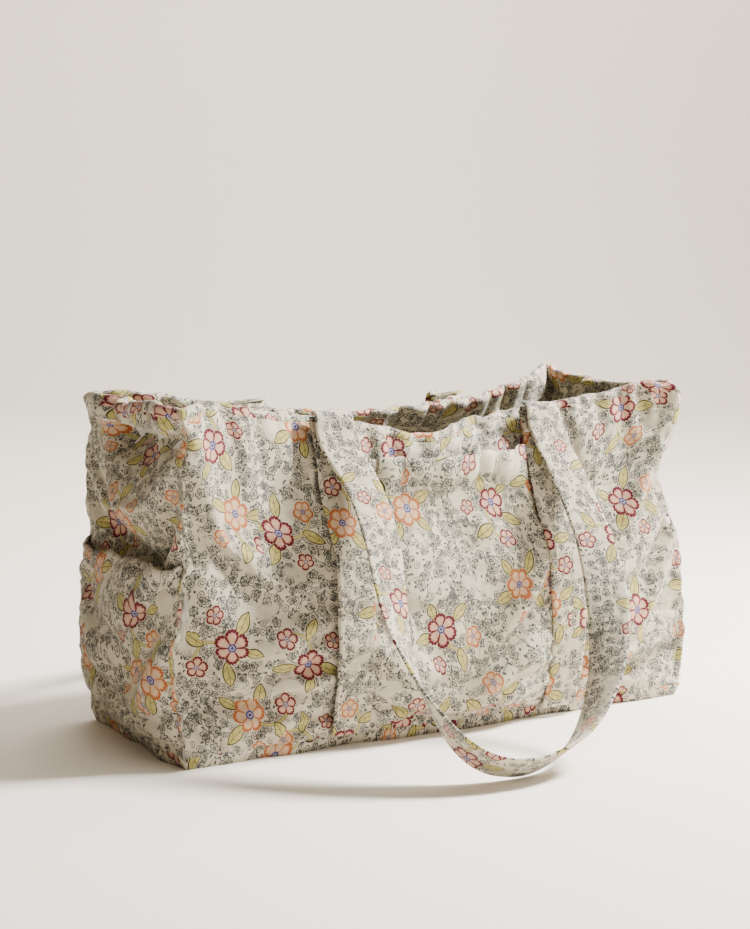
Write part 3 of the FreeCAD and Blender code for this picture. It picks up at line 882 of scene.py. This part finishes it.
def base_layers():
    """The base's cloth, wadding and lining, with room for the board between the last two."""
    grid = vertices[base_index][:, ::-1]
    normals = np.cross(np.gradient(grid, axis=0), np.gradient(grid, axis=1))
    normals /= np.linalg.norm(normals, axis=2, keepdims=True)
    steps = np.meshgrid(*(range(count) for count in grid.shape[:2]), indexing="ij")
    flat = CELL * np.stack(steps, axis=2) + np.array(BASE_PRINT_PLACE)

    def layer(depth):
        """The base's grid this deep inside its outer cloth, and at least as high over the floor."""
        points = grid - normals * depth
        points[:, :, 2] = np.maximum(points[:, :, 2], depth)
        return points

    def between(name, under, inside):
        return slab(name, layer(under), layer(inside), flat)

    inside = CLOTH_THICK + WADDING_THICK
    panel = place_piece(between("base_cloth", 0, CLOTH_THICK), PRINTED, "printed_cotton", "base_panel")
    padding = place_piece(between("base_padding", CLOTH_THICK, inside), WADDING, "wadding", "base_wadding")
    lining = between("base_inner_cloth", inside + BOARD_ROOM, inside + BOARD_ROOM + LINING_THICK)
    place_piece(lining, LINING, "lining", "base_lining")
    for piece in (panel, padding, lining):
        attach(piece, "bag")


base_layers()


# ---------------------------------------------------------------- the rolled rim and its facing
ROLL_OUT = 0.5 * MM         # how far the rolled rim stands out from the cloth below it
ROLL_STEPS = 8
ROLL_SWELL, ROLL_SWELL_LONG = 0.3, 22 * MM      # how uneven the roll's thickness is, and over what length
FACING_THICK = 1 * MM
RIM_PRINT_PLACE = (2.3, 0.7)


def rim_roll():
    """The facing: from a little below the rim outside, round over it, and down the inside."""
    columns = len(fine_ring)
    rows_down = round(FACING_DROP / (CELL / 2))
    profile = []
    for row, out_there in ((-3, -ROLL_OUT), (-2, ROLL_OUT), (-1, ROLL_OUT)):
        profile.append(fine_ring[:, row] + fine_normals[:, row] * out_there)
    rim = fine_ring[:, -1]
    up = fine_ring[:, -1] - fine_ring[:, -3]
    up /= np.linalg.norm(up, axis=1, keepdims=True)
    out = fine_normals[:, -1]
    middle = rim - out * WALL_THICK / 2
    swell = 1 + ROLL_SWELL * np.array([fractal(point, ROLL_SWELL_LONG, 17) for point in rim])[:, None]
    radius = (WALL_THICK / 2 + ROLL_OUT) * swell
    for k in range(1, ROLL_STEPS):
        turn = math.pi * k / ROLL_STEPS
        profile.append(middle + radius * (out * math.cos(turn) + up * math.sin(turn)))
    for row in range(1, rows_down):
        profile.append(fine_ring[:, -row] - fine_normals[:, -row] * (WALL_THICK + ROLL_OUT))
    outer = np.stack(profile, axis=1)
    inner = outer - ring_normals(outer) * FACING_THICK
    rows = outer.shape[1]
    down = np.concatenate([[0], np.cumsum(np.linalg.norm(np.diff(outer, axis=1), axis=2).mean(axis=0))])
    along = np.arange(columns) * CELL / 2
    flat = np.stack(np.meshgrid(along, down, indexing="ij"), axis=2) + np.array(RIM_PRINT_PLACE)
    count = columns * rows
    faces = grid_faces(columns, rows, closed=True)
    faces += grid_faces(columns, rows, count, flip=True, closed=True)
    last = rows - 1
    for i in range(columns):
        k = (i + 1) % columns
        faces.append((k * rows, i * rows, i * rows + count, k * rows + count))
        faces.append((i * rows + last, k * rows + last, k * rows + last + count, i * rows + last + count))
    piece = new_mesh("rim_roll", np.vstack([outer.reshape(-1, 3), inner.reshape(-1, 3)]), faces)
    add_print(piece, np.vstack([flat.reshape(-1, 2)] * 2))
    place_piece(piece, PRINTED, "printed_cotton", "rim_facing")
    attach(piece, "bag")


rim_roll()


# ---------------------------------------------------------------- patch pockets
HEM = 16 * MM               # the folded hem at a pocket's mouth
HEM_THICK = 0.9 * MM        # how much further out the hem stands
HEM_STITCH = 0.5 * MM       # how deep the line of stitching under it is
POCKET_CELL = 3.4 * MM
SEWN_OUT = 2.4 * MM         # how far out from the wall a pocket's cloth lies where it is sewn
POCKET_WRINKLE, POCKET_WRINKLE_WIDE = 2.2 * MM, 30 * MM
POCKET_PRINT_SHIFT = (0.213, 0.37)


def pocket(name, wall, half, top, stand_off, sag, edge_out, node, seed):
    """A patch on a wall, flat where it is sewn and standing off the wall in the middle and at the mouth."""
    columns = round(2 * half / POCKET_CELL) + 1
    rows = round((top - POCKET_BOTTOM) / POCKET_CELL) + 1
    outer = np.zeros((columns, rows, 3))
    inner = outer.copy()
    flat = np.zeros((columns, rows, 2))
    for i in range(columns):
        across = -1 + 2 * i / (columns - 1)
        for j in range(rows):
            up = j / (rows - 1)
            height = POCKET_BOTTOM + up * (top - sag * (1 - across ** 2) - POCKET_BOTTOM)
            free = (1 - across ** 2) ** 0.6 * smooth_step(up / 0.22)
            out = SEWN_OUT + free * stand_off(up) + (edge_out - SEWN_OUT) * across ** 16
            out += free * POCKET_WRINKLE * fractal((across * half, height, 0), POCKET_WRINKLE_WIDE, seed)
            hem = smooth_step((top - sag * (1 - across ** 2) - height) / (2 * MM))
            from_top = (1 - up) * (top - POCKET_BOTTOM)
            out += HEM_THICK * (from_top < HEM) - HEM_STITCH * (abs(from_top - HEM) < POCKET_CELL / 2)
            outer[i, j] = on_wall(wall, across * half, height, out)
            inner[i, j] = on_wall(wall, across * half, height, out - POCKET_THICK * (1 + 0.5 * (1 - hem)))
            flat[i, j] = (across * half, height)
    flat += np.array(PRINT_PLACE[wall]) + np.array(POCKET_PRINT_SHIFT)
    piece = slab(name, outer, inner, flat)
    place_piece(piece, PRINTED, "printed_cotton", node)
    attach(piece, "bag")


def front_stand_off(up):
    """How far a front or back pocket stands off the wall, from its bottom at 0 to its mouth at 1."""
    return MM * (2.5 + 3 * smooth_step(up / 0.5) + 9 * smooth_step((up - 0.75) / 0.25))


def end_stand_off(up):
    """The same for an end pocket."""
    return MM * (5 + 6 * smooth_step(up / 0.5))


FRONT_POCKET_HALF = STRAP_MIDDLE - STRAP_WIDTH / 2 + 8 * MM
END_POCKET_HALF = HALF_DEPTH - 3 * MM
for wall in ("front", "back"):
    pocket(wall + "_patch", wall, FRONT_POCKET_HALF, FRONT_POCKET_TOP, front_stand_off,
           sag=3 * MM, edge_out=SEWN_OUT, node=wall + "_pocket", seed=21)
for wall in ("left_end", "right_end"):
    pocket(wall + "_patch", wall, END_POCKET_HALF, END_POCKET_TOP, end_stand_off,
           sag=4 * MM, edge_out=0.2 * MM, node=wall + "_pocket", seed=23)


# ---------------------------------------------------------------- straps
STRAP_ACROSS = 13           # points across a strap's face
STITCH_INSET = 3.5 * MM     # how far the topstitching lies from a strap's edge
STITCH_DEEP, STITCH_WIDE = 0.5 * MM, 1 * MM
EDGE_ROUND = 1.2 * MM       # over what width a strap's edge rounds off
LEAST_HALF_THICK = 0.15 * MM
STRAP_WAVE, STRAP_WAVE_LONG = 0.8 * MM, 24 * MM


def strap_section(points, across, normal, flat_place):
    """The grids of a strap's two faces, from its middle line, its wide direction and its normal."""
    shares = np.sin(np.linspace(-math.pi / 2, math.pi / 2, STRAP_ACROSS))
    from_edge = (1 - np.abs(shares)) * STRAP_WIDTH / 2
    round_edge = np.sqrt(np.clip(from_edge / EDGE_ROUND, 0, 1))
    groove = STITCH_DEEP * bump(from_edge, STITCH_INSET, STITCH_WIDE)
    half_thick = np.maximum(STRAP_THICK / 2 * round_edge - groove, LEAST_HALF_THICK)
    outer = np.zeros((STRAP_ACROSS, len(points), 3))
    inner = outer.copy()
    flat = np.zeros((STRAP_ACROSS, len(points), 2))
    run = np.concatenate([[0], np.cumsum(np.linalg.norm(np.diff(points, axis=0), axis=1))])
    for j, (point, wide, face) in enumerate(zip(points, across, normal)):
        for i, share in enumerate(shares):
            wave = STRAP_WAVE * fractal((share * 5 * MM, run[j], flat_place[0]), STRAP_WAVE_LONG, 31)
            centre = point + wide * share * STRAP_WIDTH / 2 + face * wave
            outer[i, j] = centre + face * half_thick[i]
            inner[i, j] = centre - face * half_thick[i]
            flat[i, j] = (flat_place[0] + share * STRAP_WIDTH / 2, flat_place[1] + run[j])
    return outer, inner, flat


def unit(rows):
    """Each row's vector made one long."""
    return rows / np.linalg.norm(rows, axis=1, keepdims=True)


RUN_OUT = STRAP_THICK / 2 + 3 * MM      # how far a sewn strap's middle line lies out from the evened wall


def run_line(wall, place, heights):
    """The middle line of a sewn strap: straight up the wall, lying on it."""
    sign = 1 if wall == "front" else -1
    shares = (-0.5, -0.25, 0, 0.25, 0.5)
    points = []
    for height in heights:
        row = [on_wall(wall, place + share * STRAP_WIDTH, height, RUN_OUT) for share in shares]
        middle = np.mean(row, axis=0)
        middle[1] = sign * min(sign * point[1] for point in row)
        middle[0] = (middle[0] + sign * place) / 2
        points.append(middle)
    points = np.array(points)
    for _ in range(6):
        points[1:-1] = (points[:-2] + 2 * points[1:-1] + points[2:]) / 4
    return points


def strap_run(wall, place, node, flat_place):
    """The part of a strap that is sewn up the wall."""
    points = run_line(wall, place, np.linspace(RUN_LOW.z * 0.6, RUN_TOP, 75))
    side = np.tile([1.0 if wall == "front" else -1.0, 0, 0], (len(points), 1))
    along = unit(np.gradient(points, axis=0))
    normal = unit(np.cross(side, along))
    piece = slab(node.replace("_run", "_sewn"), *strap_section(points, side, normal, flat_place))
    place_piece(piece, PRINTED, "printed_strap", node)
    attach(piece, "bag")


for wall, sign in (("front", 1), ("back", -1)):
    for side, name in ((-1, "left"), (1, "right")):
        strap_run(wall, sign * side * STRAP_MIDDLE, f"{wall}_{name}_strap_run", (3 + 0.1 * side, 0.4 * sign))


# The middle line of a hanging handle: place along the bag as a share of the strap's, and how far down as
# a share of the handle's reach.
HANDLE_LINE = ((-1, 0.06), (-0.91, 0.2), (-0.92, 0.36), (-1, 0.5), (-1.05, 0.64), (-1, 0.8), (-0.8, 0.94),
               (-0.45, 0.995), (-0.05, 0.975), (0.3, 0.91), (0.65, 0.775), (0.9, 0.6), (1.03, 0.4),
               (1.03, 0.2), (1, 0.06))
HANDLE_REACH = 307 * MM
BEND_HEIGHT = 11 * MM       # how high the middle line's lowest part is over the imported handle's
HANDLE_LEAN = math.acos((HINGE.z - HANDLE_BOTTOM - BEND_HEIGHT) / HANDLE_REACH)
HANGING = Vector((0, -math.sin(HANDLE_LEAN), -math.cos(HANDLE_LEAN)))
HANDLE_POINTS = 230
FOLD_BACK = 16 * MM         # how much of a handle's end lies on top of the sewn run
FOLD_TOP = (0, -2 * MM, 6 * MM)     # where its middle line turns over at the rim, from the top of the run
FOLD_OVER = (0, -9 * MM, 4 * MM)
FOLD_REACH = 26 * MM        # a length down from the hinge along the hanging line; the point it gives is not used


def spline(points, steps=24):
    """Points along a smooth line through the given ones, evenly spaced."""
    points = np.array(points, float)
    padded = np.vstack([2 * points[0] - points[1], points, 2 * points[-1] - points[-2]])
    t = np.linspace(0, 1, steps, endpoint=False)[:, None]
    line = [catmull_rom(*padded[i:i + 4], t) for i in range(len(points) - 1)]
    line = np.vstack(line + [points[-1:]])
    run = np.concatenate([[0], np.cumsum(np.linalg.norm(np.diff(line, axis=0), axis=1))])
    even = np.linspace(0, run[-1], HANDLE_POINTS)
    return np.stack([np.interp(even, run, line[:, k]) for k in range(3)], axis=1)


def handle(wall):
    """A handle as it hangs: folded over at the rim, then down and out to the floor in front of the bag."""
    hinge, hanging = np.array(HINGE), np.array(HANGING)
    end = {}
    for side in (-1, 1):
        run = run_line("front", side * STRAP_MIDDLE, np.linspace(RUN_TOP - 2 * FOLD_BACK, RUN_TOP, 9))
        low, high = run[4] - [0, STRAP_THICK, 0], run[8] - [0, STRAP_THICK, 0]
        end[side] = [low, high, high + FOLD_TOP, high + FOLD_OVER]
    hung = [hinge + [place * STRAP_MIDDLE, 0, 0] + hanging * down * HANDLE_REACH
            for place, down in HANDLE_LINE]
    points = spline(end[-1] + hung + end[1][::-1])
    along = unit(np.gradient(points, axis=0))
    plane_normal = np.cross([1, 0, 0], hanging)
    share = np.linspace(0, 1, len(points))
    twist = -math.pi / 2 * np.sin(math.pi * share) ** 4
    in_plane = unit(np.cross(plane_normal, along))
    across = unit(in_plane * np.cos(twist)[:, None] + plane_normal * np.sin(twist)[:, None])
    across = unit(across - along * np.sum(across * along, axis=1)[:, None])
    normal = unit(np.cross(across, along))
    outer, inner, flat = strap_section(points, across, normal, (3.5, 0.2))
    if wall == "back":
        outer, inner = outer * [-1, -1, 1], inner * [-1, -1, 1]
        flat = flat + [0.5, 0.3]
    piece = slab(wall + "_strap", outer, inner, flat)
    place_piece(piece, PRINTED, "printed_strap", wall + "_handle")
    sign = 1 if wall == "front" else -1
    start = Vector((0, sign * HINGE.y, HINGE.z))
    end = start + Vector((0, sign * HANGING.y, HANGING.z)) * FOLD_REACH
    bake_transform(piece)


for wall in ("front", "back"):
    handle(wall)


# ---------------------------------------------------------------- the room: floor, backdrop, light and camera
VIEW_TURN, VIEW_TILT = math.radians(-30.85), math.radians(6.23)
VIEW_FAR, VIEW_LEFT, VIEW_UP = 1.573, 0.0145, 0.2099    # the camera from the bag's middle on the floor
LENS, SENSOR = 69.75, 36


def studio_floor():
    """A pale floor that runs far out on the camera's side and curves up into a backdrop behind the bag."""
    half = 6.0
    rise = 3.0
    bend = 1.2
    bend_steps = 12
    behind = 3.2
    near = 30.0
    profile = [(-near, 0), (behind, 0)]
    for k in range(1, bend_steps + 1):
        turn = math.pi / 2 * k / bend_steps
        profile.append((behind + bend * math.sin(turn), bend * (1 - math.cos(turn))))
    profile.append((behind + bend, bend + rise))
    points = [(x, y, z) for x in (-half, half) for y, z in profile]
    count = len(profile)
    faces = [(k, k + 1, count + k + 1, count + k) for k in range(count - 1)]
    floor = new_mesh("studio_floor", points, [face[::-1] for face in faces])
    floor.rotation_euler.z = VIEW_TURN
    floor.data.materials.append(dry_material("studio_paper", (0.93, 0.875, 0.79)))


def area_light(name, place, aim, width, energy, colour):
    """A round soft light at a place, turned towards its aim."""
    light = bpy.data.lights.new(name, "AREA")
    light.shape = "DISK"
    light.size = width
    light.energy = energy
    light.color = colour
    lamp = bpy.data.objects.new(name, light)
    lamp.location = place
    lamp.rotation_euler = (Vector(aim) - Vector(place)).to_track_quat("-Z", "Y").to_euler()
    bpy.context.scene.collection.objects.link(lamp)


def camera():
    """The camera, at the angle, distance and framing of the picture to match."""
    camera_data = bpy.data.cameras.new("camera")
    camera_data.lens = LENS
    camera_data.sensor_width = SENSOR
    camera_object = bpy.data.objects.new("camera", camera_data)
    level = Vector((math.sin(VIEW_TURN), -math.cos(VIEW_TURN), 0))
    back = level * math.cos(VIEW_TILT) + Vector((0, 0, math.sin(VIEW_TILT)))
    right = Vector((math.cos(VIEW_TURN), math.sin(VIEW_TURN), 0))
    camera_object.location = back * VIEW_FAR - right * VIEW_LEFT + back.cross(right) * VIEW_UP
    camera_object.rotation_euler = back.to_track_quat("Z", "Y").to_euler()
    bpy.context.scene.collection.objects.link(camera_object)
    bpy.context.scene.camera = camera_object


studio_floor()
camera()
area_light("key", place=(1.05, -0.4, 1.25), aim=(0, 0, 0.12), width=0.4, energy=125, colour=(1, 0.975, 0.94))
area_light("paper", place=(0.9, 1.2, 2.6), aim=(1.6, 3.2, 0.6), width=2.0, energy=160, colour=(1, 0.94, 0.85))

DIM_GLOW = (0.20, 0.16, 0.11, 1)
BRIGHT_GLOW = (1.7, 1.6, 1.44, 1)
GLOW_RANGE = {"From Min": -0.35, "From Max": 0.8}   # where along x the glow goes from dim to bright


def studio_glow():
    """Light from all round, brighter and cooler from the right and warmer and dimmer from the left."""
    world = bpy.data.worlds.new("studio")
    world.use_nodes = True
    tree = world.node_tree
    axes = add_node(tree, "SeparateXYZ", {0: add_node(tree, "TexCoord").outputs["Generated"]})
    ramp = add_node(tree, "MapRange", {"Value": axes.outputs["X"], **GLOW_RANGE})
    inputs = {"Factor": ramp.outputs["Result"], 6: DIM_GLOW, 7: BRIGHT_GLOW}
    glow = add_node(tree, "Mix", inputs, data_type="RGBA")
    tree.links.new(glow.outputs[2], tree.nodes["Background"].inputs["Color"])
    bpy.context.scene.world = world


studio_glow()
